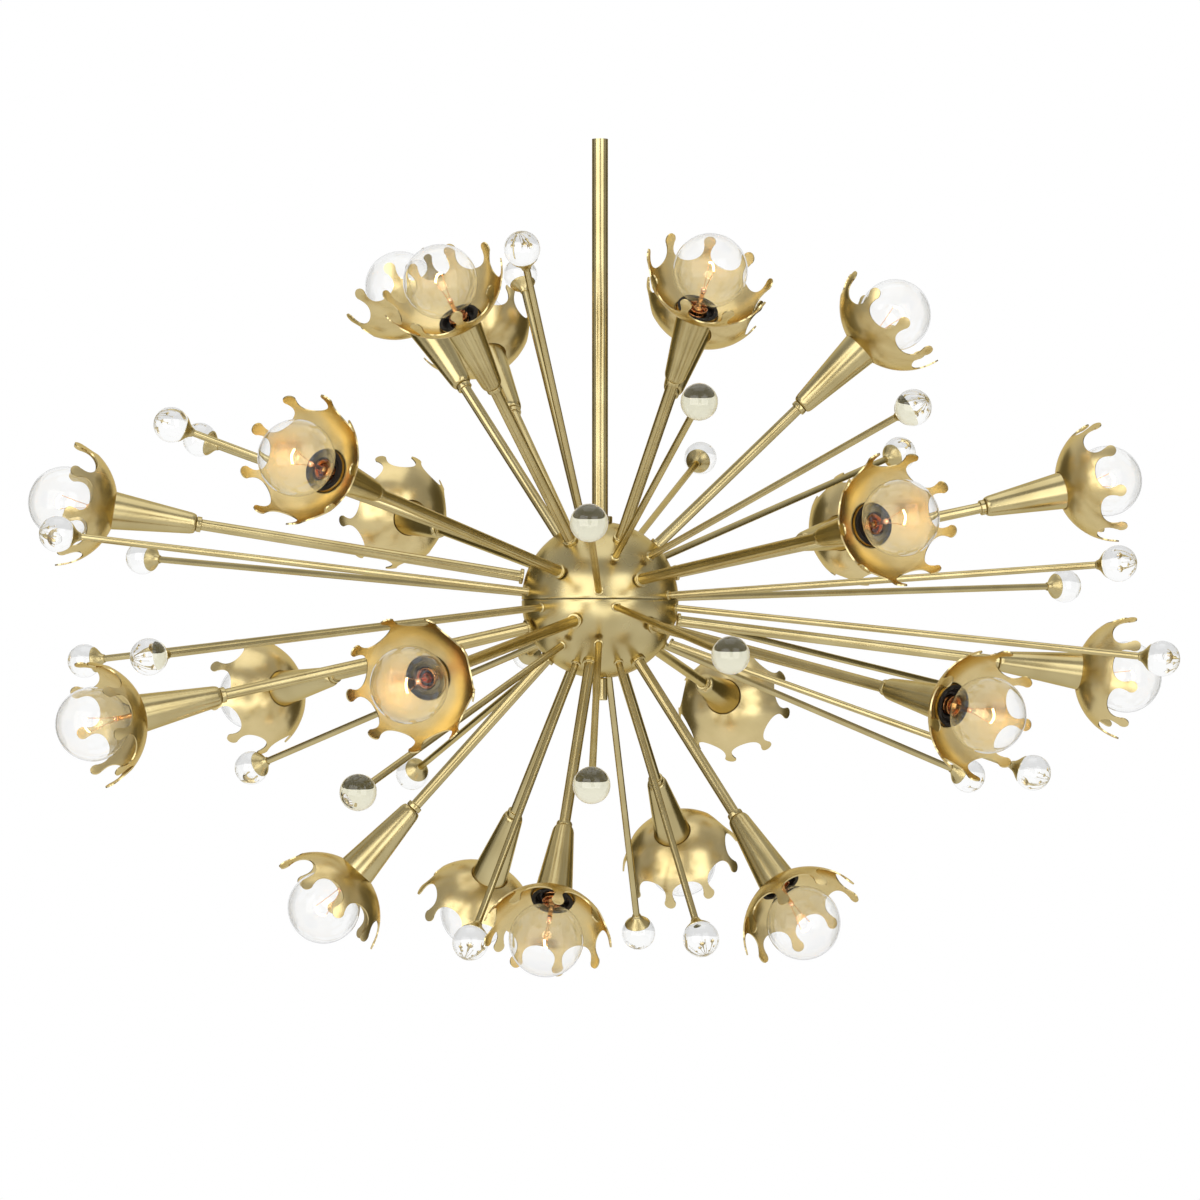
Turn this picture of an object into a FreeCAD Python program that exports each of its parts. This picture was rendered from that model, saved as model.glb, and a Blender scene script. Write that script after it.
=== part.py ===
import FreeCAD, Part
import math
import os

import Sketcher
from FreeCAD import Vector

# A ball chandelier: a round hub on a downrod, with arms that end in lamps with toothed
# crowns or in clear glass balls. Millimetres, +Z up. The origin is the top end of the
# downrod, which is where the chandelier is held. The hub's centre hangs straight below.

DRIVING_SIZES = {
    # hub and stem
    "drop": 336,  # top of the downrod to the centre of the hub
    "hub_radius": 57.1,
    "hub_wall": 2.0,
    "hub_flat_radius": 10,  # of the small flats at the two poles
    "rod_radius": 5.83,
    "rod_bore": 4.9,
    "rod_foot_radius": 5.3,  # of the foot that the stem collar goes round
    "rod_foot_bore": 4.4,  # of the foot that the pipe plugs into
    "stem_collar_radius": 9.0,
    "stem_collar_height": 4.8,
    "stem_collar_chamfer": 1.0,
    "pipe_bore": 3.1,
    "pipe_plug": 6,  # solid lower end of the pipe, above its spigot
    "pipe_engagement": 14,  # how far the pipe reaches up into the downrod
    "nut_width": 16,  # across the flats
    "nut_height": 5,
    "finial_radius": 5.5,
    "finial_length": 16.5,
    "finial_chamfer": 1.0,
    "finial_end_clearance": 1.0,
    "spigot_radius": 2.8,
    "spigot_length": 11,
    # distances from the aim point, on the hub's axis, to the centre of a bulb or a ball
    "short_lamp_reach": 300,
    "long_lamp_reach": 393,
    "short_ball_reach": 300,
    "middle_ball_reach": 342,
    "long_ball_reach": 415,
    # heights of the aim points above the hub's centre
    "upper_lamp_aim": 8,
    "lower_lamp_aim": -8,
    "high_ball_aim": 11,
    "low_ball_aim": -13,
    # lamp, measured along its arm from the centre of the bulb
    "tube_radius": 4.0,
    "cone_length": 62.5,
    "cone_end_radius": 7.3,
    "cone_mouth_radius": 14.0,
    "cone_wall": 1.0,
    "cone_mouth_depth": 33.5,  # mouth of the cone behind the bulb's centre
    "holder_radius": 8.6,
    "holder_length": 25,
    "holder_depth": 3.5,  # face of the lampholder behind the mouth of the cone
    "bulb_radius": 26.2,
    "bulb_neck_radius": 7.2,
    "bulb_neck_depth": 27.5,  # where the neck meets the globe, behind the bulb's centre
    "bulb_base_radius": 6.2,
    # crown, a thin bowl around the bulb
    "crown_radius": 47,  # of the sphere that the bowl is cut from
    "crown_centre": 9,  # centre of that sphere in front of the bulb's centre
    "crown_wall": 1.0,
    "crown_notch_depth": 19,  # depths are behind the bulb's centre
    "prong_neck_depth": 12,
    "prong_neck_width": 5.4,
    "prong_lobe_depth": 4.5,
    "prong_lobe_width": 8.8,
    "prong_tip_depth": 0.3,
    # ball arm
    "ball_radius": 12.7,
    "ball_rod_radius": 2.5,
    "cap_radius": 9.6,
    "cap_height": 8.6,
    "cap_root_radius": 3.2,
    "arm_root": 40,  # where the arms are drawn from, before the hub's form cuts their ends
    "running_fit": 0.05,  # gap around a turning or plugged-in piece
    "finial_gap": 0.3,
    # flat sides of the pieces that are drawn with flat sides
    "hub_sides": 18,
    "hub_bands": 4,
    "hub_inner_bands": 2,
    "fitting_sides": 12,
    "crown_prongs": 9,
    "round_sides": 8,
    "thin_sides": 6,
}

# Where the arms point: azimuth from +X towards +Y and elevation, in whole degrees. They are
# set by eye on the real lamp, so each leans a few degrees from an even spacing.
# Each ring: name, reach, height of its aim point, directions.
LAMP_RINGS = [
    (
        "top",
        "short_lamp_reach",
        None,
        [(3, 44), (65, 51), (117, 45), (144, 52), (237, 47), (293, 49)],
    ),
    (
        "upper",
        "long_lamp_reach",
        "upper_lamp_aim",
        [(12, 12), (58, 8), (115, 10), (186, 9), (238, 12), (301, 6)],
    ),
    (
        "lower",
        "long_lamp_reach",
        "lower_lamp_aim",
        [(7, -7), (74, -10), (134, -9), (202, -12), (251, -8), (313, -11)],
    ),
    (
        "bottom",
        "short_lamp_reach",
        None,
        [(74, -41), (120, -51), (185, -48), (258, -53), (318, -50)],
    ),
]
BALL_RINGS = [
    ("top", "short_ball_reach", None, [(111, 56), (252, 54)]),
    (
        "high",
        "middle_ball_reach",
        "high_ball_aim",
        [(45, 18), (76, 18), (158, 19), (200, 19), (282, 20), (312, 20)],
    ),
    (
        "upper",
        "long_ball_reach",
        None,
        [(31, 2), (90, 4), (148, 5), (203, 6), (269, 6), (330, 3)],
    ),
    (
        "lower",
        "long_ball_reach",
        None,
        [(46, -9), (98, -5), (160, -6), (222, -6), (282, -6), (345, -6)],
    ),
    (
        "low",
        "middle_ball_reach",
        "low_ball_aim",
        [(30, -20), (117, -20), (145, -19), (239, -21), (269, -20), (342, -19)],
    ),
    ("bottom", "short_ball_reach", None, [(80, -56), (239, -54), (293, -53)]),
]

doc = FreeCAD.newDocument("Chandelier")
sheet = doc.addObject("Spreadsheet::Sheet", "Sizes")
nodes = []


# ---------------------------------------------------------------- the sheet


def fill_sheet():
    """Put the driving sizes and the arms' angles in the sheet, each with its alias."""
    entries = dict(DRIVING_SIZES)
    for kind, rings in (("lamp", LAMP_RINGS), ("ball", BALL_RINGS)):
        for name, _, _, directions in rings:
            for number, (azimuth, elevation) in enumerate(directions, 1):
                arm = f"{name}_{kind}_{number}"
                entries[f"{arm}_azimuth"] = azimuth
                entries[f"{arm}_elevation"] = elevation
    for row, (alias, number) in enumerate(entries.items(), 1):
        sheet.set(f"A{row}", alias)
        sheet.set(f"B{row}", str(number))
        sheet.setAlias(f"B{row}", alias)
    doc.recompute()


def size(alias):
    return float(sheet.get(alias))


def count(alias):
    return int(sheet.get(alias))


# ---------------------------------------------------------------- flat-sided turned forms


def side_ring(sides, radius, height):
    """Corners of a regular polygon whose flats stand at the given radius."""
    corner_radius = radius / math.cos(math.pi / sides)
    corners = []
    for k in range(sides):
        turn = 2 * math.pi * (k + 0.5) / sides
        corners.append(
            Vector(corner_radius * math.cos(turn), corner_radius * math.sin(turn), height)
        )
    return corners


def flat_face(corners):
    return Part.Face(Part.makePolygon(corners + corners[:1]))


def flat_sided(sides, outline, through=False):
    """Solid with flat sides round Z from (radius, height) points, listed from its lower end
    round the outside. The first and last points get end faces, or, where the solid is open
    through its middle, are joined to each other."""
    rings = [side_ring(sides, radius, height) for radius, height in outline]
    faces = []
    if through:
        rings.append(rings[0])
    else:
        faces.append(flat_face(rings[0]))
        faces.append(flat_face(rings[-1]))
    for low, high in zip(rings, rings[1:]):
        for k in range(sides):
            after = (k + 1) % sides
            faces.append(flat_face([low[k], low[after], high[after], high[k]]))
    solid = Part.Solid(Part.Shell(faces))
    if solid.Volume < 0:
        solid.reverse()
    return solid


def on_sphere(radius, centre, angle):
    """Radius and height of a point on a sphere, at an angle in degrees from its lower pole."""
    turn = math.radians(angle)
    return (radius * math.sin(turn), centre - radius * math.cos(turn))


def ball_outline(radius):
    """Outline of a ball in flat bands that touch it from outside."""
    flat = radius * math.tan(math.pi / 8)
    return [(flat, -radius), (radius, -flat), (radius, flat), (flat, radius)]


def shape_object(label, shape):
    feature = doc.addObject("Part::Feature", label)
    feature.Shape = shape
    return feature


# ---------------------------------------------------------------- sketched bodies


def origin_feature(body, role):
    for feature in body.Origin.OriginFeatures:
        if feature.Role == role:
            return feature
    raise LookupError(role)


def attached_sketch(body, name, role):
    sketch = body.newObject("Sketcher::SketchObject", name)
    sketch.AttachmentSupport = [(origin_feature(body, role), "")]
    sketch.MapMode = "FlatFace"
    return sketch


def bind_outline(sketch, corners):
    """Closed outline of straight lines through (across, up) corners, given as expressions."""
    places = []
    for across, up in corners:
        x = float(sketch.evalExpression(across))
        y = float(sketch.evalExpression(up))
        places.append(Vector(x, y, 0))
    total = len(places)
    for k in range(total):
        sketch.addGeometry(Part.LineSegment(places[k], places[(k + 1) % total]))
    for k in range(total):
        sketch.addConstraint(Sketcher.Constraint("Coincident", k, 2, (k + 1) % total, 1))
    for k, (across, up) in enumerate(corners):
        bound = (("DistanceX", places[k].x, across), ("DistanceY", places[k].y, up))
        for kind, start, formula in bound:
            index = sketch.addConstraint(Sketcher.Constraint(kind, -1, 1, k, 1, start))
            sketch.setExpression(f"Constraints[{index}]", formula)


def turned_body(label, height, corners):
    """Body turned round Z, its outline in (radius, height) expressions, and its own origin
    at a height that is also an expression."""
    body = doc.addObject("PartDesign::Body", label)
    sketch = attached_sketch(body, f"{label}_outline", "XZ_Plane")
    bind_outline(sketch, corners)
    turned = body.newObject("PartDesign::Revolution", f"{label}_turned")
    turned.Profile = sketch
    turned.ReferenceAxis = (sketch, ["V_Axis"])
    turned.Angle = 360
    body.Tip = turned
    body.setExpression("Placement.Base.z", height)
    nodes.append(body)


# ---------------------------------------------------------------- hub and stem

HUB_HEIGHT = "-Sizes.drop"
POLE = "sqrt(Sizes.hub_radius ^ 2 - Sizes.hub_flat_radius ^ 2)"


def build_downrod():
    """Tube from the held end at the origin down to the top of the hub. Its foot is turned
    down where the collar goes round it, and bored narrower where the pipe plugs in."""
    foot = f"{POLE} - Sizes.drop"
    shoulder = f"{foot} + Sizes.stem_collar_height"
    ledge = f"{foot} + Sizes.pipe_engagement"
    corners = [
        ("Sizes.rod_foot_bore", foot),
        ("Sizes.rod_foot_radius", foot),
        ("Sizes.rod_foot_radius", shoulder),
        ("Sizes.rod_radius", shoulder),
        ("Sizes.rod_radius", "0"),
        ("Sizes.rod_bore", "0"),
        ("Sizes.rod_bore", ledge),
        ("Sizes.rod_foot_bore", ledge),
    ]
    turned_body("downrod", "0", corners)


def pole_height():
    """Height of the hub's upper polar flat above its centre."""
    return math.sqrt(size("hub_radius") ** 2 - size("hub_flat_radius") ** 2)


def hub_node(label, shape):
    """A piece drawn round the hub's centre and hung at its height."""
    feature = shape_object(label, shape)
    feature.setExpression("Placement.Base.z", HUB_HEIGHT)
    nodes.append(feature)


def plug_radius(radius):
    """Radius of the flats of a fitting whose corners stay inside a round of that radius."""
    return radius * math.cos(math.pi / count("fitting_sides"))


def build_stem_collar():
    """Ring round the foot of the downrod, standing on the hub."""
    foot = pole_height()
    top = foot + size("stem_collar_height")
    bore = size("rod_foot_radius") + size("running_fit")
    outer = size("stem_collar_radius")
    chamfer = size("stem_collar_chamfer")
    outline = [
        (outer, foot),
        (outer, top - chamfer),
        (outer - chamfer, top),
        (bore, top),
        (bore, foot),
    ]
    hub_node("stem_collar", flat_sided(count("fitting_sides"), outline, through=True))


def build_hub_pipe():
    """Pipe through the hub, from inside the downrod to the spigot that holds the finial."""
    foot = -pole_height()
    top = pole_height() + size("pipe_engagement")
    outer = plug_radius(size("rod_foot_bore") - size("running_fit"))
    spigot = plug_radius(size("spigot_radius"))
    outline = [
        (spigot, foot - size("spigot_length")),
        (spigot, foot),
        (outer, foot),
        (outer, top),
        (size("pipe_bore"), top),
        (size("pipe_bore"), foot + size("pipe_plug")),
    ]
    hub_node("hub_pipe", flat_sided(count("fitting_sides"), outline))


def build_finial():
    """Cap screwed on the pipe's spigot below the hub."""
    top = -pole_height() - size("finial_gap")
    foot = top - size("finial_length")
    outer = size("finial_radius")
    chamfer = size("finial_chamfer")
    bore = size("spigot_radius") + size("running_fit")
    bore_end = -pole_height() - size("spigot_length") - size("finial_end_clearance")
    outline = [
        (outer - chamfer, foot),
        (outer, foot + chamfer),
        (outer, top),
        (bore, top),
        (bore, bore_end),
    ]
    hub_node("bottom_finial", flat_sided(count("fitting_sides"), outline))


def hub_arc(radius, bands):
    """Points of the upper half of a hub surface, from the equator to its polar flat."""
    flat_angle = math.degrees(math.asin(size("hub_flat_radius") / size("hub_radius")))
    points = []
    for band in range(bands + 1):
        angle = 90 + (90 - flat_angle) * band / bands
        points.append(on_sphere(radius, 0, angle))
    return points


def build_hub_shells():
    """Two hollow halves that meet at the equator, each with a bore for the pipe."""
    outside = hub_arc(size("hub_radius"), count("hub_bands"))
    inside = hub_arc(size("hub_radius") - size("hub_wall"), count("hub_inner_bands"))
    bore = size("rod_foot_bore")
    bore_walls = [(bore, outside[-1][1]), (bore, inside[-1][1])]
    outline = outside + bore_walls + inside[::-1]
    upper = flat_sided(count("hub_sides"), outline, through=True)
    lower = upper.mirror(Vector(0, 0, 0), Vector(0, 0, 1))
    hub_node("upper_hub_shell", upper)
    hub_node("lower_hub_shell", lower)


def build_hub_form():
    """The whole outside of the hub, which shapes the ends of the arms."""
    half = hub_arc(size("hub_radius"), count("hub_bands"))
    lower_half = [(radius, -height) for radius, height in half[:0:-1]]
    form = shape_object("hub_form", flat_sided(count("hub_sides"), lower_half + half))
    form.setExpression("Placement.Base.z", HUB_HEIGHT)
    return form


def build_lock_nuts():
    """Two hexagon nuts on the pipe, one inside each pole of the hub."""
    inner_pole = f"{POLE} * (1 - Sizes.hub_wall / Sizes.hub_radius)"
    blank = doc.addObject("Part::Prism", "nut_blank")
    blank.Polygon = 6
    blank.setExpression("Circumradius", "Sizes.nut_width / 2 / cos(30)")
    blank.setExpression("Height", "Sizes.nut_height")
    bore = doc.addObject("Part::Prism", "nut_bore")
    bore.setExpression("Polygon", "Sizes.fitting_sides")
    bore.setExpression("Circumradius", "Sizes.rod_foot_bore / cos(180 / Sizes.fitting_sides)")
    bore.setExpression("Height", "Sizes.nut_height")
    nut = doc.addObject("Part::Cut", "nut")
    nut.Base = blank
    nut.Tool = bore
    heights = {
        "upper_nut": f"{HUB_HEIGHT} + {inner_pole} - Sizes.nut_height",
        "lower_nut": f"{HUB_HEIGHT} - {inner_pole}",
    }
    nuts = []
    for label, height in heights.items():
        link = doc.addObject("App::Link", label)
        link.LinkedObject = nut
        link.setExpression("Placement.Base.z", height)
        nuts.append(link)
    group_node("hub_lock_nuts", nuts)


# ---------------------------------------------------------------- rings of arms


def group_node(label, members):
    group = doc.addObject("Part::Compound", label)
    group.Links = members
    nodes.append(group)


def placed_copies(label, template, ring, distance):
    """Copies of a piece on every arm of a ring, at a distance along the arm."""
    name, aim, directions = ring
    height = HUB_HEIGHT
    if aim:
        height += f" + Sizes.{aim}"
    copies = []
    for number in range(1, len(directions) + 1):
        azimuth = f"Sizes.{name}_{number}_azimuth"
        elevation = f"Sizes.{name}_{number}_elevation"
        flat = f"({distance}) * cos({elevation})"
        centre = (
            f"vector({flat} * cos({azimuth}); {flat} * sin({azimuth}); "
            f"{height} + ({distance}) * sin({elevation}))"
        )
        turn = f"rotation({azimuth}; 90 - {elevation}; 0)"
        copy = doc.addObject("App::Link", f"{label}_{number}")
        copy.LinkedObject = template
        copy.setExpression("Placement", f"placement({centre}; {turn})")
        copies.append(copy)
    return copies


def seated_arms(label, template, ring, hub_form):
    """Tubes or rods of a ring, their inner ends cut to the hub's surface."""
    bundle = doc.addObject("Part::Compound", f"{label}_uncut")
    bundle.Links = placed_copies(label, template, ring, "0")
    seated = doc.addObject("Part::Cut", label)
    seated.Base = bundle
    seated.Tool = hub_form
    nodes.append(seated)


# ---------------------------------------------------------------- lamp pieces


def tube_shape(reach):
    """Arm tube up to the small end of the cone."""
    end = size(reach) - size("cone_mouth_depth") - size("cone_length")
    outline = [
        (size("tube_radius"), size("arm_root")),
        (size("tube_radius"), end),
    ]
    return flat_sided(count("round_sides"), outline)


def cone_shape():
    """Tapered socket cover, hollow from its mouth down to the foot of the lampholder."""
    mouth = -size("cone_mouth_depth")
    small_end = mouth - size("cone_length")
    floor = mouth - size("holder_depth") - size("holder_length")
    taper = (size("cone_mouth_radius") - size("cone_end_radius")) / size("cone_length")
    wall = size("cone_wall")
    outline = [
        (size("cone_end_radius"), small_end),
        (size("cone_mouth_radius"), mouth),
        (size("cone_mouth_radius") - wall, mouth),
        (size("cone_mouth_radius") - wall - taper * (mouth - floor), floor),
    ]
    return flat_sided(count("crown_prongs"), outline)


def holder_shape():
    """Lampholder standing on the floor of the cone."""
    face = -size("cone_mouth_depth") - size("holder_depth")
    foot = face - size("holder_length")
    outline = [(size("holder_radius"), foot), (size("holder_radius"), face)]
    return flat_sided(count("thin_sides"), outline)


def bulb_shape():
    """Globe bulb whose neck stands on the lampholder."""
    globe = ball_outline(size("bulb_radius"))
    face = -size("cone_mouth_depth") - size("holder_depth")
    neck_top = -size("bulb_neck_depth")
    neck = [(size("bulb_base_radius"), face), (size("bulb_neck_radius"), neck_top)]
    return flat_sided(count("round_sides"), neck + globe[1:])


def prong_corners(turn, knee, rim):
    """Corners of one prong on its flat of the crown, from its right foot over its round lobe
    to its left foot. Knee and rim are (radius, height) points of the flat's lower and upper
    edge, and turn is the prong's direction in radians."""
    slope = (rim[0] - knee[0]) / (rim[1] - knee[1])
    half_side = knee[0] * math.tan(math.pi / count("crown_prongs"))
    half_outline = [
        (half_side, knee[1]),
        (size("prong_neck_width") / 2, -size("prong_neck_depth")),
        (size("prong_lobe_width") / 2, -size("prong_lobe_depth")),
    ]
    outline = [(-across, height) for across, height in half_outline]
    outline.append((0, -size("prong_tip_depth")))
    outline += half_outline[::-1]
    corners = []
    for across, height in outline:
        outward = knee[0] + slope * (height - knee[1])
        x = outward * math.cos(turn) - across * math.sin(turn)
        y = outward * math.sin(turn) + across * math.cos(turn)
        corners.append(Vector(x, y, height))
    return corners


def crown_shape():
    """Thin bowl of flat sides with a hole for the cone. A prong with a lobed end rises from
    each side, and the notches between the prongs reach down to the bowl's knee. The inside
    is the outside drawn in towards the centre of the crown's sphere."""
    prongs = count("crown_prongs")
    radius = size("crown_radius")
    centre = Vector(0, 0, size("crown_centre"))
    inward = 1 - size("crown_wall") / radius

    def drawn_in(corner):
        return centre + (corner - centre) * inward

    hole_radius = (size("cone_mouth_radius") + size("running_fit")) / inward
    hole = (hole_radius, centre.z - math.sqrt(radius**2 - hole_radius**2))
    knee_height = -size("crown_notch_depth")
    knee = (math.sqrt(radius**2 - (centre.z - knee_height) ** 2), knee_height)
    rim = (math.sqrt(radius**2 - centre.z**2), 0)
    hole_corners = side_ring(prongs, *hole)
    faces = []
    for k in range(prongs):
        prong = prong_corners(2 * math.pi * (k + 1) / prongs, knee, rim)
        hole_edge = [hole_corners[k], hole_corners[(k + 1) % prongs]]
        bowl_side = [prong[0], prong[-1], hole_edge[1], hole_edge[0]]
        for corners in (prong, bowl_side):
            faces.append(flat_face(corners))
            faces.append(flat_face([drawn_in(corner) for corner in corners]))
        for outline in (prong, hole_edge):
            for start, end in zip(outline, outline[1:]):
                faces.append(flat_face([start, end, drawn_in(end), drawn_in(start)]))
    crown = Part.Solid(Part.Shell(faces))
    if crown.Volume < 0:
        crown.reverse()
    return crown


def build_lamps(hub_form):
    head_pieces = {
        "cones": cone_shape(),
        "crowns": crown_shape(),
        "holders": holder_shape(),
        "bulbs": bulb_shape(),
    }
    templates = {
        piece: shape_object(f"lamp_{piece}_template", shape)
        for piece, shape in head_pieces.items()
    }
    for name, reach, aim, directions in LAMP_RINGS:
        label = f"{name}_lamp"
        ring = (label, aim, directions)
        tube = shape_object(f"{label}_tube_template", tube_shape(reach))
        seated_arms(f"{label}_tubes", tube, ring, hub_form)
        for piece, template in templates.items():
            node = f"{label}_{piece}"
            group_node(node, placed_copies(node, template, ring, f"Sizes.{reach}"))


# ---------------------------------------------------------------- ball pieces


def cap_outline():
    """Dish under a ball: a flared outside, and an inside that follows the ball's flats."""
    flat, bottom = ball_outline(size("ball_radius"))[0]
    rim = size("cap_radius")
    rim_height = bottom + rim - flat
    root = rim_height - size("cap_height")
    return [(size("cap_root_radius"), root), (rim, rim_height), (flat, bottom)]


def build_ball_arms(hub_form):
    sides = count("round_sides")
    outline = cap_outline()
    cap_root = outline[0][1]
    ball = flat_sided(sides, ball_outline(size("ball_radius")))
    templates = {
        "caps": shape_object("ball_cap_template", flat_sided(sides, outline)),
        "balls": shape_object("ball_template", ball),
    }
    for name, reach, aim, directions in BALL_RINGS:
        label = f"{name}_ball"
        ring = (label, aim, directions)
        rod_radius = size("ball_rod_radius")
        rod_outline = [(rod_radius, size("arm_root")), (rod_radius, size(reach) + cap_root)]
        rod_shape = flat_sided(count("thin_sides"), rod_outline)
        rod = shape_object(f"{label}_rod_template", rod_shape)
        seated_arms(f"{label}_rods", rod, ring, hub_form)
        for piece, template in templates.items():
            node = f"{label}_{piece}" if piece == "caps" else f"{name}_balls"
            group_node(node, placed_copies(node, template, ring, f"Sizes.{reach}"))


# ---------------------------------------------------------------- build and write


def check_model():
    """Stop if any object failed or any sub-part has no sound shape."""
    for item in doc.Objects:
        if "Invalid" in item.State or "Error" in item.State:
            raise RuntimeError(f"{item.Label}: {item.State}")
    for node in nodes:
        if node.Shape.isNull() or not node.Shape.isValid():
            raise RuntimeError(f"{node.Label}: its shape isn't sound")
        if not node.Shape.Solids:
            raise RuntimeError(f"{node.Label}: it has no solid")


def write_parts():
    os.makedirs("parts", exist_ok=True)
    for node in nodes:
        node.Shape.exportStep(os.path.join("parts", f"{node.Label}.step"))


fill_sheet()
build_downrod()
build_stem_collar()
build_hub_pipe()
build_finial()
build_hub_shells()
build_lock_nuts()
outer_form = build_hub_form()
build_lamps(outer_form)
build_ball_arms(outer_form)
doc.recompute()
check_model()
write_parts()
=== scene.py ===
import math

import bpy
from mathutils import Matrix, Vector


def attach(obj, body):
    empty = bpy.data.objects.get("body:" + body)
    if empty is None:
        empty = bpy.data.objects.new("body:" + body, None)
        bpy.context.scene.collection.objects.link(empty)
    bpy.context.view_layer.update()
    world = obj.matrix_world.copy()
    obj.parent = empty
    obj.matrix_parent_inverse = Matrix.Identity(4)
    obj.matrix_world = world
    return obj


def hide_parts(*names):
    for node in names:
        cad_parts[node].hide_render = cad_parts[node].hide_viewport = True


# The looks of a ball chandelier: smooth brass and glass pieces on the places of its plain
# frame. Metres, +Z up, and the origin is the held end of the downrod.

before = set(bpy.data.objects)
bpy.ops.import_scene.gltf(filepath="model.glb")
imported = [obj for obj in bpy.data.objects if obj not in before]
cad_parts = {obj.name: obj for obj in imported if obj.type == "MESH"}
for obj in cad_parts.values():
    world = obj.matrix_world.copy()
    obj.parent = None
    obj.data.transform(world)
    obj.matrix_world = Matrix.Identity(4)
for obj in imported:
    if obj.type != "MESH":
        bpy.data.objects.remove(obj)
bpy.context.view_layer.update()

# ---------------------------------------------------------------- sizes

HUB_HEIGHT = -0.336
HUB_RADIUS = 0.0571
HUB_FLAT = 0.010
HUB_WALL = 0.002
SEAM = 0.0002  # half the width of the groove where the hub's halves meet
PIPE_BORE = 0.0044
COLLAR_RADIUS = 0.009
COLLAR_HEIGHT = 0.0048
ROD_FIT = 0.00535
FINIAL_RADIUS = 0.0055
FINIAL_LENGTH = 0.0165
FINIAL_GAP = 0.0003
FINIAL_BORE = 0.00285
FINIAL_BORE_DEPTH = 0.0117

# A lamp, measured along its arm from the centre of its bulb.
TUBE_RADIUS = 0.004
TUBE_RING_RADIUS = 0.0056  # of the rings at both ends of the tube
HUB_RING_HEIGHT = 0.0021
CONE_RING_LENGTH = 0.0037
CONE_BACK = -0.096
CONE_MOUTH = -0.0335
CONE_BACK_RADIUS = 0.0073
CONE_MOUTH_RADIUS = 0.014
CONE_WALL = 0.001
HOLDER_FACE = -0.037
HOLDER_FOOT = -0.062
HOLDER_RADIUS = 0.0086
HOLDER_RING_RADIUS = 0.0147  # of the ring that lies on the cone's rim
HOLDER_RING_HEIGHT = 0.0008
SOCKET_DEPTH = 0.012
BULB_RADIUS = 0.0262
BULB_WALL = 0.0004
FILAMENT_TURNS = 16
FILAMENT_COIL = 0.0006  # radius of its coils
FILAMENT_WIRE = 0.00026
LEAD_WIRE = 0.00022
SCREW_THREADS = 5
THREAD_PITCH = 0.0026
CROWN_RADIUS = 0.047
CROWN_CENTRE = 0.009
CROWN_WALL = 0.001
CROWN_HOLE = 0.01436
PRONGS = 9
NOTCH_DEPTH = 0.019
NECK_HEIGHT = 0.0098  # of a prong's narrowest place above the foot of its notch
NECK_WIDTH = 0.0054
LOBE_WIDTH = 0.0088
TIP_DEPTH = 0.0004

# A ball arm, measured from the centre of its ball.
BALL_RADIUS = 0.0127
BALL_ROD_RADIUS = 0.0025
CAP_ROOT = -0.01696
CAP_RIM = -0.00836
CAP_ROOT_RADIUS = 0.0032
CAP_RIM_RADIUS = 0.0096

ROD_RING_RADIUS = 0.0036

ARM_START = 0.0568  # just inside the hub's surface
LONG_LAMP = 0.393
SHORT_LAMP = 0.300
LONG_BALL = 0.415
MIDDLE_BALL = 0.342
SHORT_BALL = 0.300

# Where the arms point: azimuth from +X towards +Y and elevation, in degrees.
# Each ring: name, distance from its aim point to a bulb or ball, height of the aim point
# above the hub's centre, directions.
LAMP_RINGS = [
    ("top", SHORT_LAMP, 0, [(3, 44), (65, 51), (117, 45), (144, 52), (237, 47), (293, 49)]),
    ("upper", LONG_LAMP, 0.008, [(12, 12), (58, 8), (115, 10), (186, 9), (238, 12), (301, 6)]),
    ("lower", LONG_LAMP, -0.008,
     [(7, -7), (74, -10), (134, -9), (202, -12), (251, -8), (313, -11)]),
    ("bottom", SHORT_LAMP, 0, [(74, -41), (120, -51), (185, -48), (258, -53), (318, -50)]),
]
BALL_RINGS = [
    ("top", SHORT_BALL, 0, [(111, 56), (252, 54)]),
    ("high", MIDDLE_BALL, 0.011,
     [(45, 18), (76, 18), (158, 19), (200, 19), (282, 20), (312, 20)]),
    ("upper", LONG_BALL, 0, [(31, 2), (90, 4), (148, 5), (203, 6), (269, 6), (330, 3)]),
    ("lower", LONG_BALL, 0,
     [(46, -9), (98, -5), (160, -6), (222, -6), (282, -6), (345, -6)]),
    ("low", MIDDLE_BALL, -0.013,
     [(30, -20), (117, -20), (145, -19), (239, -21), (269, -20), (342, -19)]),
    ("bottom", SHORT_BALL, 0, [(80, -56), (239, -54), (293, -53)]),
]

FLOOR_HEIGHT = -2.6
FLOOR_REACH = 12.0
CAMERA_LENS = 171.93
CAMERA_SENSOR = 36
CAMERA_DISTANCE = 4.171
CAMERA_ELEVATION = -1

# ---------------------------------------------------------------- mesh helpers


class Form:
    """Points and faces of a shape drawn round its own +Z."""

    def __init__(self):
        self.points = []
        self.faces = []

    def add(self, points, faces):
        first = len(self.points)
        self.points += points
        self.faces += [[first + corner for corner in face] for face in faces]

    def merged(self, other):
        self.add(other.points, other.faces)
        return self


def eased(outline, radius, steps=3):
    """The outline with a small arc in place of each corner between its ends."""
    result = [outline[0]]
    for before, corner, after in zip(outline, outline[1:], outline[2:]):
        corner = Vector(corner)
        back = Vector(before) - corner
        ahead = Vector(after) - corner
        start = corner + back.normalized() * min(radius, back.length * 0.45)
        end = corner + ahead.normalized() * min(radius, ahead.length * 0.45)
        for step in range(steps + 1):
            t = step / steps
            place = start * (1 - t) ** 2 + corner * 2 * t * (1 - t) + end * t**2
            result.append(tuple(place))
    result.append(outline[-1])
    return result


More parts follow.
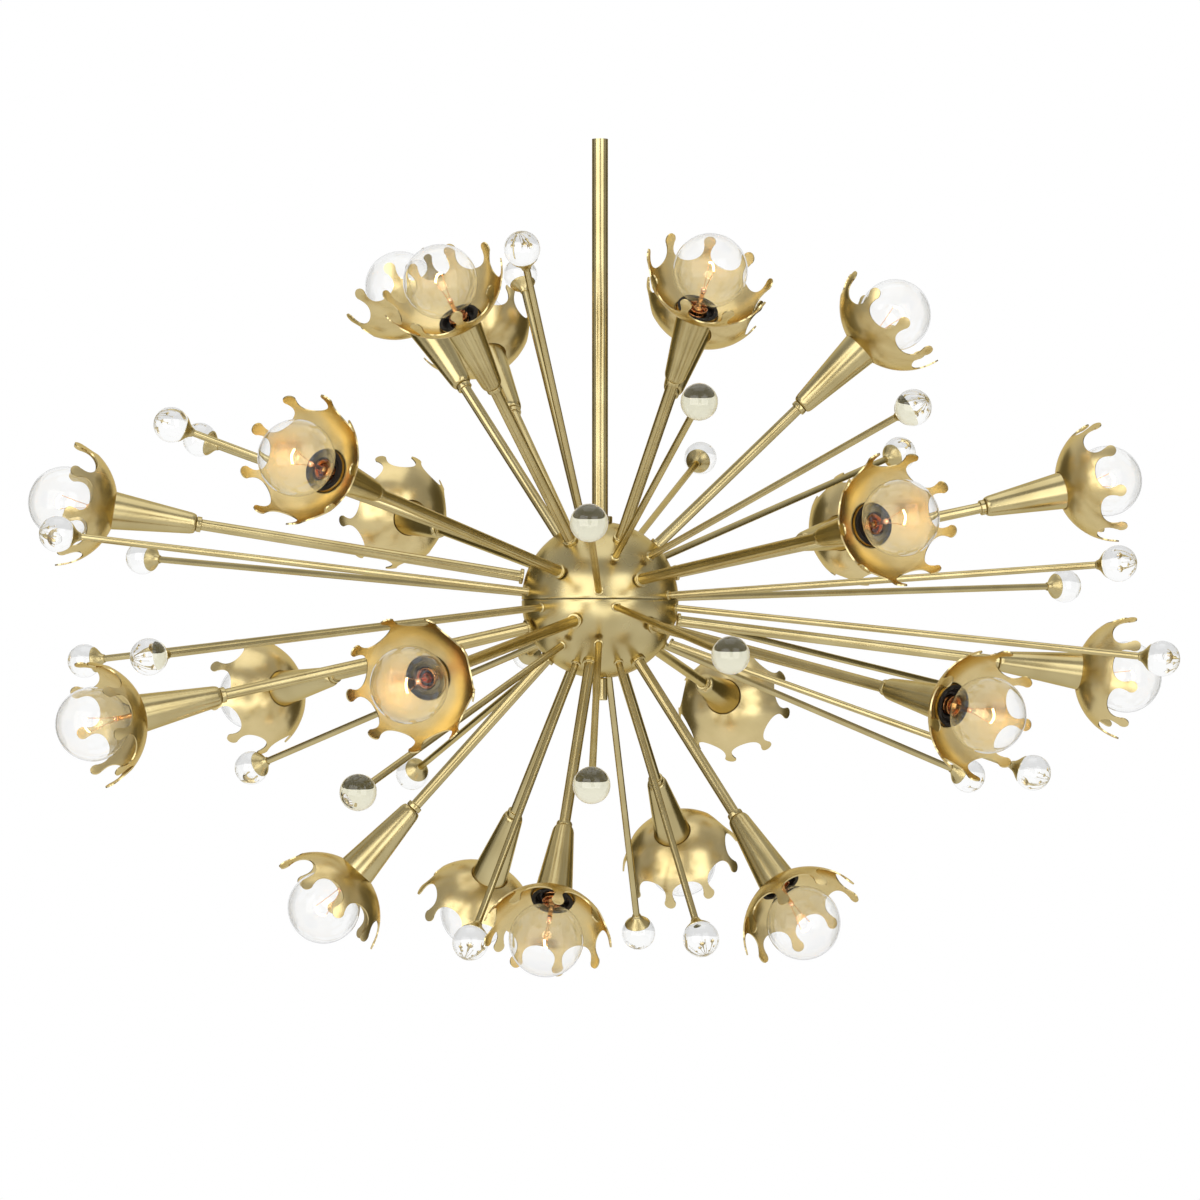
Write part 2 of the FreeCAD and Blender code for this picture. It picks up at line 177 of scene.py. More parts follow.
def arc(radius, centre, start, end, steps):
    """(radius, height) points on a circle round the axis point at height centre. Angles are
    in degrees from the equator, 90 at the top."""
    points = []
    for step in range(steps + 1):
        angle = math.radians(start + (end - start) * step / steps)
        points.append((max(radius * math.cos(angle), 0), centre + radius * math.sin(angle)))
    return points


def bezier(a, b, c, d, steps):
    """Points on the curve from a to d that b and c draw towards them."""
    a, b, c, d = Vector(a), Vector(b), Vector(c), Vector(d)
    points = []
    for step in range(steps + 1):
        t = step / steps
        u = 1 - t
        points.append(tuple(a * u**3 + b * 3 * u * u * t + c * 3 * u * t * t + d * t**3))
    return points


def turned(outline, sides, closed=False):
    """Form turned round Z from an outline of (radius, height) points. A point on the axis
    becomes one tip. A closed outline joins its last point to its first."""
    form = Form()
    rings = []
    for radius, height in outline:
        first = len(form.points)
        if radius < 1e-7:
            form.points.append((0, 0, height))
            rings.append([first] * sides)
            continue
        for side in range(sides):
            angle = 2 * math.pi * side / sides
            form.points.append((radius * math.cos(angle), radius * math.sin(angle), height))
        rings.append([first + side for side in range(sides)])
    pairs = list(zip(rings, rings[1:]))
    if closed:
        pairs.append((rings[-1], rings[0]))
    for low, high in pairs:
        for side in range(sides):
            ahead = (side + 1) % sides
            face = [low[side], low[ahead], high[ahead], high[side]]
            face = list(dict.fromkeys(face))
            if len(face) > 2:
                form.faces.append(face)
    return form


def swept(path, radius, sides=8):
    """Round wire along a path of points."""
    form = Form()
    path = [Vector(place) for place in path]
    for index, place in enumerate(path):
        ahead = path[min(index + 1, len(path) - 1)] - path[max(index - 1, 0)]
        turn = ahead.to_track_quat("Z", "Y")
        for side in range(sides):
            angle = 2 * math.pi * side / sides
            out = Vector((radius * math.cos(angle), radius * math.sin(angle), 0))
            form.points.append(tuple(place + turn @ out))
    for index in range(len(path) - 1):
        for side in range(sides):
            ahead = (side + 1) % sides
            low = index * sides
            high = low + sides
            form.faces.append([low + side, low + ahead, high + ahead, high + side])
    form.faces.append([side for side in range(sides)][::-1])
    form.faces.append([(len(path) - 1) * sides + side for side in range(sides)])
    return form


def arm_places(distance, aim, directions):
    """Where the bulbs or balls of a ring are, each with its +Z along its arm."""
    places = []
    for azimuth, elevation in directions:
        turn = Matrix.Rotation(math.radians(azimuth), 4, "Z")
        tip = Matrix.Rotation(math.radians(90 - elevation), 4, "Y")
        base = Matrix.Translation((0, 0, HUB_HEIGHT + aim))
        places.append(base @ turn @ tip @ Matrix.Translation((0, 0, distance)))
    return places


def add_object(name, data):
    made = bpy.data.objects.new(name, data)
    bpy.context.scene.collection.objects.link(made)
    return made


def build_mesh(name, form, places, sharp=38):
    """One mesh object with a copy of the form at each place. Each point keeps where it is on
    the form, in local, and each copy a number of its own, in copy."""
    points = []
    local = []
    copies = []
    faces = []
    for number, place in enumerate(places):
        first = len(points)
        for point in form.points:
            points.append(tuple(place @ Vector(point)))
            local.append(point)
            copies.append(number)
        faces += [[first + corner for corner in face] for face in form.faces]
    mesh = bpy.data.meshes.new(name)
    mesh.from_pydata(points, [], faces)
    mesh.validate()
    mesh.shade_smooth()
    mesh.set_sharp_from_angle(angle=math.radians(sharp))
    kept = mesh.attributes.new("local", "FLOAT_VECTOR", "POINT")
    kept.data.foreach_set("vector", [value for point in local for value in point])
    kept = mesh.attributes.new("copy", "FLOAT", "POINT")
    kept.data.foreach_set("value", [number * 0.37 for number in copies])
    return add_object(name, mesh)


def build_sheet(name, width, height, material, level=0):
    """Flat rectangle round its own middle, for the floor and the cards."""
    x = width / 2
    y = height / 2
    mesh = bpy.data.meshes.new(name)
    mesh.from_pydata([(-x, -y, level), (x, -y, level), (x, y, level), (-x, y, level)], [],
                     [[0, 1, 2, 3]])
    mesh.materials.append(material)
    return add_object(name, mesh)


# ---------------------------------------------------------------- materials


class Graph:
    """A material and short ways to add and join its nodes."""

    def __init__(self, name):
        self.material = bpy.data.materials.new(name)
        self.material.use_nodes = True
        self.nodes = self.material.node_tree.nodes
        self.nodes.clear()
        self.output = self.node("ShaderNodeOutputMaterial")

    def node(self, kind, **settings):
        made = self.nodes.new(kind)
        for key, value in settings.items():
            setattr(made, key, value)
        return made

    def link(self, source, target):
        self.material.node_tree.links.new(source, target)

    def surface(self, source):
        self.link(source, self.output.inputs["Surface"])

    def attribute(self, name, output):
        return self.node("ShaderNodeAttribute", attribute_name=name).outputs[output]

    def math(self, operation, *values):
        """The result of a sum on sockets and plain numbers."""
        made = self.node("ShaderNodeMath", operation=operation)
        for socket, value in zip(made.inputs, values):
            if isinstance(value, float):
                socket.default_value = value
            else:
                self.link(value, socket)
        return made.outputs["Value"]

    def mix_shader(self, factor, low, high):
        made = self.node("ShaderNodeMixShader")
        for source, socket in zip((factor, low, high), made.inputs):
            self.link(source, socket)
        return made.outputs["Shader"]

    def rays(self, *names):
        """The largest of these outputs of the light path."""
        path = self.node("ShaderNodeLightPath")
        total = path.outputs[names[0]]
        for name in names[1:]:
            total = self.math("MAXIMUM", total, path.outputs[name])
        return total

    def shader(self, **values):
        made = self.node("ShaderNodeBsdfPrincipled")
        for key, value in values.items():
            made.inputs[key.replace("_", " ")].default_value = value
        self.surface(made.outputs["BSDF"])
        return made

    def place(self, on_form):
        """Where a point is: on its own form for copied pieces, else on the whole object."""
        if not on_form:
            return self.node("ShaderNodeTexCoord").outputs["Object"]
        moved = self.node("ShaderNodeVectorMath", operation="ADD")
        self.link(self.attribute("local", "Vector"), moved.inputs[0])
        self.link(self.attribute("copy", "Fac"), moved.inputs[1])
        return moved.outputs["Vector"]

    def noise(self, place, scale, stretch=(1, 1, 1), detail=3.0, rough=0.5):
        """Soft noise of about this many waves in a metre."""
        mapped = self.node("ShaderNodeMapping")
        mapped.inputs["Scale"].default_value = [scale * value for value in stretch]
        self.link(place, mapped.inputs["Vector"])
        made = self.node("ShaderNodeTexNoise")
        made.inputs["Scale"].default_value = 1
        made.inputs["Detail"].default_value = detail
        made.inputs["Roughness"].default_value = rough
        self.link(mapped.outputs["Vector"], made.inputs["Vector"])
        return made.outputs["Fac"]

    def blend(self, factor, low, high):
        """Colour that goes from low to high in the middle of the factor's range."""
        made = self.node("ShaderNodeValToRGB")
        made.color_ramp.elements[0].position = 0.3
        made.color_ramp.elements[0].color = (*low, 1)
        made.color_ramp.elements[1].position = 0.7
        made.color_ramp.elements[1].color = (*high, 1)
        self.link(factor, made.inputs["Fac"])
        return made.outputs["Color"]

    def span(self, factor, low, high):
        """Number that goes from low to high in the middle of the factor's range."""
        made = self.node("ShaderNodeMapRange")
        made.inputs["From Min"].default_value = 0.3
        made.inputs["From Max"].default_value = 0.7
        made.inputs["To Min"].default_value = low
        made.inputs["To Max"].default_value = high
        self.link(factor, made.inputs["Value"])
        return made.outputs["Result"]

    def bump(self, height, depth):
        made = self.node("ShaderNodeBump")
        made.inputs["Strength"].default_value = 1.0
        made.inputs["Distance"].default_value = depth
        self.link(height, made.inputs["Height"])
        return made.outputs["Normal"]


EDGE_TINT = (0.87, 0.74, 0.45, 1)  # brass seen at a glancing angle
DULL_PLATING = (0.80, 0.77, 0.60)  # in the dishes, under the balls
BRIGHT_PLATING = (0.88, 0.85, 0.69)
PLATING_GLOSS = 0.05


def brass(name, dull, bright, rough, grain=(1, 1, 0.06), on_form=True, turned_grain=0.0,
          polished=False):
    """Satin brass whose tone and gloss drift a little. The inside of a dish, where a ball
    sits, can be polished and pale."""
    graph = Graph(name)
    place = graph.place(on_form)
    drift = graph.noise(place, 38, detail=1)
    wear = graph.noise(place, 140, stretch=grain, detail=1)
    shader = graph.shader(Metallic=1.0, Specular_Tint=EDGE_TINT)
    tone = graph.blend(drift, dull, bright)
    gloss = graph.span(wear, *rough)
    if polished:
        reach = graph.node("ShaderNodeVectorMath", operation="LENGTH")
        graph.link(graph.attribute("local", "Vector"), reach.inputs[0])
        outside = graph.math("GREATER_THAN", reach.outputs["Value"], BALL_RADIUS + 0.0001)
        gloss = graph.math("MULTIPLY_ADD", outside, gloss, PLATING_GLOSS)
        plating = graph.blend(drift, DULL_PLATING, BRIGHT_PLATING)
        mixed = graph.node("ShaderNodeMix", data_type="RGBA")
        graph.link(outside, mixed.inputs["Factor"])
        graph.link(plating, mixed.inputs["A"])
        graph.link(tone, mixed.inputs["B"])
        tone = mixed.outputs["Result"]
    graph.link(tone, shader.inputs["Base Color"])
    graph.link(gloss, shader.inputs["Roughness"])
    if turned_grain:
        shader.inputs["Anisotropic"].default_value = turned_grain
        tangent = graph.node("ShaderNodeTangent", direction_type="RADIAL", axis="Z")
        graph.link(tangent.outputs["Tangent"], shader.inputs["Tangent"])
    return graph.material


def crown_brass():
    """Brass of the crowns, whose gloss varies round the hole and not along the prongs. Its tone
    is
    brighter and warmer than the satin brass: painted light, for the bulb's warm glow and the
    light gathered in the bowl.
    """
    graph = Graph("crown_brass")
    place = graph.place(True)
    split = graph.node("ShaderNodeSeparateXYZ")
    graph.link(graph.attribute("local", "Vector"), split.inputs["Vector"])
    flat = graph.node("ShaderNodeCombineXYZ")
    graph.link(split.outputs["X"], flat.inputs["X"])
    graph.link(split.outputs["Y"], flat.inputs["Y"])
    around = graph.node("ShaderNodeVectorMath", operation="NORMALIZE")
    graph.link(flat.outputs["Vector"], around.inputs[0])
    drift = graph.noise(place, 45, detail=4)
    brushing = graph.noise(around.outputs["Vector"], 38, detail=3, rough=0.65)
    shader = graph.shader(Metallic=1.0, Specular_Tint=EDGE_TINT)
    # Painted light: a brighter, warmer tone than the satin brass, for the glow in the bowl.
    graph.link(
        graph.blend(drift, (0.66, 0.525, 0.250), (0.76, 0.615, 0.315)),
        shader.inputs["Base Color"],
    )
    graph.link(graph.span(brushing, 0.24, 0.27), shader.inputs["Roughness"])
    return graph.material


def clear_glass(name, tint, rough, ripple, ior=1.5):
    """Clear glass with very slight waves in its surface."""
    graph = Graph(name)
    place = graph.place(True)
    waves = graph.noise(place, 90, detail=1)
    shader = graph.shader(IOR=ior)
    shader.inputs["Transmission Weight"].default_value = 1.0
    graph.link(graph.span(waves, *rough), shader.inputs["Roughness"])
    graph.link(graph.blend(waves, tint[0], tint[1]), shader.inputs["Base Color"])
    graph.link(graph.bump(waves, ripple), shader.inputs["Normal"])
    return graph.material


def black_plastic():
    """Matt black plastic with fine specks."""
    graph = Graph("black_plastic")
    place = graph.place(True)
    specks = graph.noise(place, 900, detail=2)
    shader = graph.shader()
    shader.inputs["Specular IOR Level"].default_value = 0.2
    graph.link(graph.blend(specks, (0.005, 0.005, 0.005), (0.012, 0.011, 0.010)),
               shader.inputs["Base Color"])
    graph.link(graph.span(specks, 0.45, 0.6), shader.inputs["Roughness"])
    graph.link(graph.bump(specks, 0.00003), shader.inputs["Normal"])
    return graph.material


def plated(name, low, high, rough, on_form=True):
    """Plain metal with a cloudy surface, for the small parts."""
    graph = Graph(name)
    place = graph.place(on_form)
    cloud = graph.noise(place, 300, detail=3)
    shader = graph.shader(Metallic=1.0)
    graph.link(graph.blend(cloud, low, high), shader.inputs["Base Color"])
    graph.link(graph.span(cloud, *rough), shader.inputs["Roughness"])
    graph.link(graph.bump(cloud, 0.00002), shader.inputs["Normal"])
    return graph.material


def glowing_filament():
    """Orange glow that is only seen. A small lamp in each bulb lights what is round it."""
    graph = Graph("glowing_filament")
    place = graph.place(True)
    beads = graph.noise(place, 1500, detail=1)
    light = graph.node("ShaderNodeEmission")
    graph.link(graph.blend(beads, (1.0, 0.46, 0.12), (1.0, 0.80, 0.42)),
               light.inputs["Color"])
    light.inputs["Strength"].default_value = 8.0
    graph.surface(light.outputs["Emission"])
    graph.material.cycles.emission_sampling = "NONE"
    return graph.material


DULL_BRASS = (0.51, 0.415, 0.200)
BRIGHT_BRASS = (0.61, 0.510, 0.265)
SATIN = brass("satin_brass", DULL_BRASS, BRIGHT_BRASS, (0.21, 0.25))
HUB_SATIN = brass("hub_satin_brass", DULL_BRASS, BRIGHT_BRASS, (0.24, 0.28),
                  grain=(0.5, 0.5, 0.5), on_form=False, turned_grain=0.2)
ROD_SATIN = brass("rod_satin_brass", DULL_BRASS, BRIGHT_BRASS, (0.19, 0.23), on_form=False)
CAP_SATIN = brass("cap_satin_brass", DULL_BRASS, BRIGHT_BRASS, (0.24, 0.29), polished=True)
CROWN = crown_brass()
STEEL = plated("zinc_steel", (0.42, 0.41, 0.39), (0.58, 0.57, 0.55), (0.3, 0.5), on_form=False)
COPPER = plated("copper_contact", (0.75, 0.30, 0.10), (0.95, 0.48, 0.20), (0.2, 0.35))
WIRE = plated("copper_wire", (0.80, 0.40, 0.18), (0.95, 0.55, 0.28), (0.2, 0.35))
STEM = plated("warm_stem", (0.86, 0.50, 0.30), (0.98, 0.68, 0.46), (0.12, 0.2))
PLASTIC = black_plastic()
BULB_GLASS = clear_glass("bulb_glass", ((0.975, 0.978, 0.975), (0.99, 0.99, 0.988)),
                         (0.0, 0.004), 0.000004, ior=1.38)
BALL_GLASS = clear_glass("clear_glass", ((0.97, 0.975, 0.97), (0.99, 0.992, 0.99)),
                         (0.0, 0.002), 0.000002, ior=1.52)
FILAMENT = glowing_filament()


def finish_piece(piece, material, nodes=(), body="chandelier"):
    """Give a piece its material and body, and hide the CAD nodes whose place it takes."""
    piece.data.materials.append(material)
    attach(piece, body)
    if nodes:
        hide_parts(*nodes)
    return piece


# ---------------------------------------------------------------- hub and stem


def pole():
    """Height of the hub's flats above and below its centre."""
    return math.sqrt(HUB_RADIUS**2 - HUB_FLAT**2)


def build_hub():
    """Two smooth halves with a fine groove between them and a small flat at each pole."""
    outer_end = math.degrees(math.acos(HUB_FLAT / HUB_RADIUS))
    inner = HUB_RADIUS - HUB_WALL
    outside = arc(HUB_RADIUS, 0, 0.7, outer_end, 40)
    inside = arc(inner, 0, outer_end, 0.5, 24)
    lip = [(HUB_RADIUS - 0.0009, SEAM), (HUB_RADIUS - 0.0002, SEAM + 0.0001)]
    ring = [(PIPE_BORE, pole()), (PIPE_BORE, inside[0][1])]
    outline = lip + outside + eased([outside[-1]] + ring, 0.0003)[1:] + inside
    outline.append((inner, SEAM))
    places = {
        "upper": Matrix.Translation((0, 0, HUB_HEIGHT)),
        "lower": Matrix.Translation((0, 0, HUB_HEIGHT)) @ Matrix.Rotation(math.pi, 4, "X"),
    }
    for side, place in places.items():
        shell = build_mesh(f"{side}_hub_half", turned(outline, 128, closed=True), [place])
        finish_piece(shell, HUB_SATIN, [f"{side}_hub_shell"])


def build_stem_collar():
    foot = pole()
    top = foot + COLLAR_HEIGHT
    corners = [
        (ROD_FIT, foot), (COLLAR_RADIUS, foot), (COLLAR_RADIUS, top), (ROD_FIT, top),
    ]
    outline = eased(corners + [corners[0]], 0.0009, 4)[:-1]
    place = Matrix.Translation((0, 0, HUB_HEIGHT))
    collar = build_mesh("stem_ring", turned(outline, 64, closed=True), [place])
    finish_piece(collar, ROD_SATIN, ["stem_collar"])


def build_finial():
    top = -pole() - FINIAL_GAP
    foot = top - FINIAL_LENGTH
    bore_end = top - FINIAL_BORE_DEPTH
    corners = [
        (0, foot), (FINIAL_RADIUS, foot), (FINIAL_RADIUS, top), (FINIAL_BORE, top),
        (FINIAL_BORE, bore_end), (0, bore_end),
    ]
    place = Matrix.Translation((0, 0, HUB_HEIGHT))
    finial = build_mesh("finial_cap", turned(eased(corners, 0.0011, 4), 64), [place])
    finish_piece(finial, ROD_SATIN, ["bottom_finial"], body="finial")


def dress_kept_nodes():
    """The plain pieces whose shape is right already get their metal."""
    metals = {"downrod": ROD_SATIN, "hub_pipe": STEEL, "hub_lock_nuts": STEEL}
    for name, metal in metals.items():
        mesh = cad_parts[name].data
        mesh.materials.clear()
        mesh.materials.append(metal)


# ---------------------------------------------------------------- lamps


def tube_form(distance):
    """Tube from the hub to the cone, with a ring where it meets the hub and a small
    stepped ring behind the cone."""
    start = ARM_START - distance
    hub_ring = HUB_RADIUS - distance + HUB_RING_HEIGHT
    cone_ring = CONE_BACK - CONE_RING_LENGTH
    end = CONE_BACK - 0.0001
    corners = [
        (0, start), (TUBE_RING_RADIUS, start), (TUBE_RING_RADIUS + 0.00005, hub_ring),
        (TUBE_RADIUS, hub_ring), (TUBE_RADIUS, cone_ring), (TUBE_RING_RADIUS, cone_ring),
        (TUBE_RING_RADIUS, end), (0, end),
    ]
    return turned(eased(corners, 0.0005), 32)


def cone_slope():
    return (CONE_MOUTH_RADIUS - CONE_BACK_RADIUS) / (CONE_MOUTH - CONE_BACK)


def cone_form():
    """Tapered cover with a rounded shoulder behind and a thin rim in front."""
    slope = cone_slope()
    inner_foot = CONE_MOUTH_RADIUS - CONE_WALL - slope * (CONE_MOUTH - HOLDER_FOOT)
    shoulder = bezier(
        (0.0036, CONE_BACK), (0.0066, CONE_BACK), (CONE_BACK_RADIUS - 0.0003, CONE_BACK + 0.0006),
        (CONE_BACK_RADIUS + slope * 0.004, CONE_BACK + 0.004), 8,
    )
    outline = [(0, CONE_BACK)] + shoulder + [
        (CONE_MOUTH_RADIUS - slope * 0.02, CONE_MOUTH - 0.02),
        (CONE_MOUTH_RADIUS - slope * 0.0004, CONE_MOUTH - 0.0004),
        (CONE_MOUTH_RADIUS - 0.0003, CONE_MOUTH),
        (CONE_MOUTH_RADIUS - CONE_WALL + 0.0003, CONE_MOUTH),
        (CONE_MOUTH_RADIUS - CONE_WALL, CONE_MOUTH - 0.0004),
        (inner_foot, HOLDER_FOOT),
        (0, HOLDER_FOOT),
    ]
    return turned(outline, 48)


def crown_form():
    """Bowl with a hole at its foot and nine prongs with round lobes at its rim. Rows give a
    prong's half width at each distance from the foot, measured along the crown's sphere. All
    points lie on that sphere, and the inside is the outside drawn in towards its centre."""
    pitch = 2 * math.pi / PRONGS

    def along(height):
        """Distance from the foot along the sphere to a height."""
        return CROWN_RADIUS * math.acos((CROWN_CENTRE - height) / CROWN_RADIUS)

    hole = CROWN_RADIUS * math.asin(CROWN_HOLE / CROWN_RADIUS)
    knee = along(-NOTCH_DEPTH)
    tip = along(-TIP_DEPTH)
    lobe = tip - LOBE_WIDTH / 2
    neck = knee + NECK_HEIGHT

    def share(v):
        """Half the width that each prong has to itself at this distance."""
        return CROWN_RADIUS * math.sin(v / CROWN_RADIUS) * pitch / 2

    scallop = share(neck) - NECK_WIDTH / 2
    rows = []
    for step in range(9):
        v = hole + (knee - hole) * step / 8
        rows.append((v, share(v)))
    for step in range(1, 15):
        turn = math.radians(90 * step / 14)
        v = neck - (neck - knee) * math.cos(turn)
        rows.append((v, share(v) - scallop * math.sin(turn)))
    joint = math.radians(-38)
    lobe_start = (lobe + LOBE_WIDTH / 2 * math.sin(joint), LOBE_WIDTH / 2 * math.cos(joint))
    for step in range(1, 6):
        t = step / 6
        ease = t * t * (3 - 2 * t)
        rows.append((neck + (lobe_start[0] - neck) * t,
                     NECK_WIDTH / 2 + (lobe_start[1] - NECK_WIDTH / 2) * ease))
    for step in range(13):
        turn = joint + (math.pi / 2 - joint) * step / 12
        rows.append((lobe + LOBE_WIDTH / 2 * math.sin(turn),
                     LOBE_WIDTH / 2 * math.cos(turn)))

    columns = 5
    points = []
    known = {}
    faces = []

    def point(v, angle):
        polar = v / CROWN_RADIUS
        flat = CROWN_RADIUS * math.sin(polar)
        place = (flat * math.cos(angle), flat * math.sin(angle),
                 CROWN_CENTRE - CROWN_RADIUS * math.cos(polar))
        key = tuple(round(value * 1e7) for value in place)
        if key not in known:
            known[key] = len(points)
            points.append(place)
        return known[key]

    for prong in range(PRONGS):
        middle = pitch * prong
        grid = []
        for v, half in rows:
            half_turn = min(half / (CROWN_RADIUS * math.sin(v / CROWN_RADIUS)), pitch / 2)
            grid.append([point(v, middle + half_turn * column / columns)
                         for column in range(-columns, columns + 1)])
        for low, high in zip(grid, grid[1:]):
            for column in range(2 * columns):
                face = [low[column], high[column], high[column + 1], low[column + 1]]
                face = list(dict.fromkeys(face))
                if len(face) > 2:
                    faces.append(face)

    edges = {}
    for face in faces:
        for start, end in zip(face, face[1:] + face[:1]):
            edges[(start, end)] = edges.get((start, end), 0) + 1
    rim = [pair for pair in edges if (pair[1], pair[0]) not in edges]
    inward = 1 - CROWN_WALL / CROWN_RADIUS
    count = len(points)
    inner = [(x * inward, y * inward, CROWN_CENTRE + (z - CROWN_CENTRE) * inward)
             for x, y, z in points]
    form = Form()
    form.add(points + inner, faces)
    form.faces += [[count + corner for corner in face[::-1]] for face in faces]
    form.faces += [[end, start, count + start, count + end] for start, end in rim]
    return form


def holder_form():
    """Black lampholder with a stepped face and a socket. Its ring lies on the cone's rim and
    holds the
    crown. Its flange reaches out to the cone's inner wall, so its black is partly painted shade:
    it stands for the shaded brass deep in the cone."""
    # Painted shade: the black flange fills the cone out to its wall, where the cone's brass would
    # lie in shade.
    flange = HOLDER_FACE - 0.003
    side = CONE_MOUTH_RADIUS - CONE_WALL - cone_slope() * (CONE_MOUTH - flange) - 0.0001
    seat = CONE_MOUTH + 0.00005
    ring_top = seat + HOLDER_RING_HEIGHT
    socket_foot = HOLDER_FACE - SOCKET_DEPTH
    corners = [
        (0, HOLDER_FOOT), (HOLDER_RADIUS, HOLDER_FOOT), (HOLDER_RADIUS, flange), (side, flange),
        (side, seat), (HOLDER_RING_RADIUS, seat), (HOLDER_RING_RADIUS, ring_top),
        (0.0120, ring_top), (0.0116, HOLDER_FACE), (0.0098, HOLDER_FACE),
        (0.0096, HOLDER_FACE + 0.001), (0.0074, HOLDER_FACE + 0.001), (0.0072, socket_foot),
        (0, socket_foot),
    ]
    return turned(eased(corners, 0.0003), 48)


def bulb_outline(skin, foot):
    """Globe with a neck, from the foot to the top. Skin is how far inside the glass it is."""
    radius = BULB_RADIUS - skin
    start = math.degrees(math.asin(-0.0215 / BULB_RADIUS))
    globe = arc(radius, 0, start, 90, 40)
    out = globe[0]
    tangent = Vector((out[1], -out[0])).normalized()
    waist = bezier((0.0064 - skin, -0.0315), (0.0066 - skin, -0.0285),
                   tuple(Vector(out) - tangent * -0.006), out, 10)
    return [(0, foot), (0.0056 - skin, foot), (0.0062 - skin, foot + 0.0008)] + waist + globe[1:]


def bulb_form():
    """Hollow glass globe: an outside skin and an inside one, which faces the other way."""
    outside = turned(bulb_outline(0, HOLDER_FACE - 0.0005), 64)
    inside = turned(bulb_outline(BULB_WALL, HOLDER_FACE + 0.0006), 64)
    inside.faces = [face[::-1] for face in inside.faces]
    return outside.merged(inside)


def stem_form():
    """Glass stem inside the neck, which carries the lead wires."""
    outline = [(0, -0.0355), (0.0040, -0.0355), (0.0034, -0.0325), (0.0019, -0.0290),
               (0.0015, -0.0240), (0.0017, -0.0195), (0.0021, -0.0175), (0.0014, -0.0160),
               (0, -0.0156)]
    return turned(eased(outline, 0.0006), 20)


def lead_wire_form():
    """Two lead wires from the stem to the ends of the filament."""
    form = Form()
    for side in (-1, 1):
        path = [(side * 0.0009, 0, -0.0340), (side * 0.0011, 0, -0.0170),
                (side * 0.0026, 0, -0.0080), (side * 0.0050, 0, 0.0030),
                (side * 0.0052, 0, 0.0036)]
        form.merged(swept(path, LEAD_WIRE))
    return form


def filament_form():
    """Coiled filament that hangs in an arch between the wires."""
    path = []
    steps = FILAMENT_TURNS * 8
    for step in range(steps + 1):
        t = step / steps
        bow = math.sin(math.pi * t)
        angle = 2 * math.pi * FILAMENT_TURNS * t
        path.append((-0.0051 + 0.0102 * t, FILAMENT_COIL * math.cos(angle),
                     0.0034 + 0.0024 * bow + FILAMENT_COIL * math.sin(angle)))
    return swept(path, FILAMENT_WIRE, 5)


def contact_form():
    """Copper screw shell of a bulb, with a plain collar round the glass neck."""
    outline = [(0.0057, -0.0478)]
    for thread in range(SCREW_THREADS):
        low = -0.0476 + thread * THREAD_PITCH
        outline += [(0.0064, low + 0.0006), (0.0064, low + 0.0012), (0.0059, low + 0.0018),
                    (0.0059, low + 0.0024)]
    outline += [(0.0069, -0.0350), (0.0070, -0.0326), (0.0068, -0.0321), (0.0065, -0.0321)]
    return turned(outline, 40)


def build_lamps():
    """Each ring of lamps: pieces that take a CAD node's place, and bulb parts that don't."""
    heads = {
        "cones": (cone_form(), SATIN, "satin_brass"),
        "crowns": (crown_form(), CROWN, "crown_brass"),
        "holders": (holder_form(), PLASTIC, "black_plastic"),
        "bulbs": (bulb_form(), BULB_GLASS, "bulb_glass"),
    }
    insides = {
        "stems": (stem_form(), STEM, "bulb_glass"),
        "lead_wires": (lead_wire_form(), WIRE, "steel"),
        "filaments": (filament_form(), FILAMENT, "steel"),
        "contacts": (contact_form(), COPPER, "steel"),
    }
    for name, distance, aim, directions in LAMP_RINGS:
        places = arm_places(distance, aim, directions)
        tubes = build_mesh(f"{name}_tube_set", tube_form(distance), places)
        finish_piece(tubes, SATIN, [f"{name}_lamp_tubes"])
        for piece, (form, material, slot) in heads.items():
            made = build_mesh(f"{name}_{piece}_set", form, places)
            finish_piece(made, material, [f"{name}_lamp_{piece}"])
            made.visible_shadow = material is not BULB_GLASS
        for piece, (form, material, slot) in insides.items():
            made = build_mesh(f"{name}_{piece}_set", form, places)
            finish_piece(made, material)


# ---------------------------------------------------------------- balls


def rod_form(distance):
    """Thin rod from the hub to the dish, with a small flange on the hub."""
    start = ARM_START - distance
    hub_ring = HUB_RADIUS - distance
    corners = [(0, start), (ROD_RING_RADIUS, start), (ROD_RING_RADIUS, hub_ring + 0.0009),
               (BALL_ROD_RADIUS, hub_ring + 0.0012), (BALL_ROD_RADIUS, CAP_ROOT + 0.0004),
               (0, CAP_ROOT + 0.0004)]
    return turned(eased(corners, 0.0003), 24)


def cap_form():
    """Flared dish whose inside follows the ball."""
    seat = BALL_RADIUS + 0.00002
    rim = math.degrees(math.acos((CAP_RIM_RADIUS - 0.0005) / seat))
    flare = bezier((CAP_ROOT_RADIUS, CAP_ROOT + 0.0004), (0.0036, CAP_ROOT + 0.0036),
                   (0.0078, CAP_RIM - 0.0030), (CAP_RIM_RADIUS, CAP_RIM - 0.0004), 14)
    inside = arc(seat, 0, -rim, -90, 14)
    outline = [(0, CAP_ROOT), (CAP_ROOT_RADIUS - 0.0003, CAP_ROOT)] + flare
    outline += [(CAP_RIM_RADIUS - 0.0001, CAP_RIM)] + inside
    return turned(outline, 48)


def ball_form():
    return turned(arc(BALL_RADIUS, 0, -90, 90, 40), 64)


def build_balls():
    for name, distance, aim, directions in BALL_RINGS:
        places = arm_places(distance, aim, directions)
        rods = build_mesh(f"{name}_rod_set", rod_form(distance), places)
        finish_piece(rods, SATIN, [f"{name}_ball_rods"])
        caps = build_mesh(f"{name}_cap_set", cap_form(), places)
        finish_piece(caps, CAP_SATIN, [f"{name}_ball_caps"])
        balls = build_mesh(f"{name}_ball_set", ball_form(), places)
        finish_piece(balls, BALL_GLASS, [f"{name}_balls"])


# ---------------------------------------------------------------- floor, light and camera


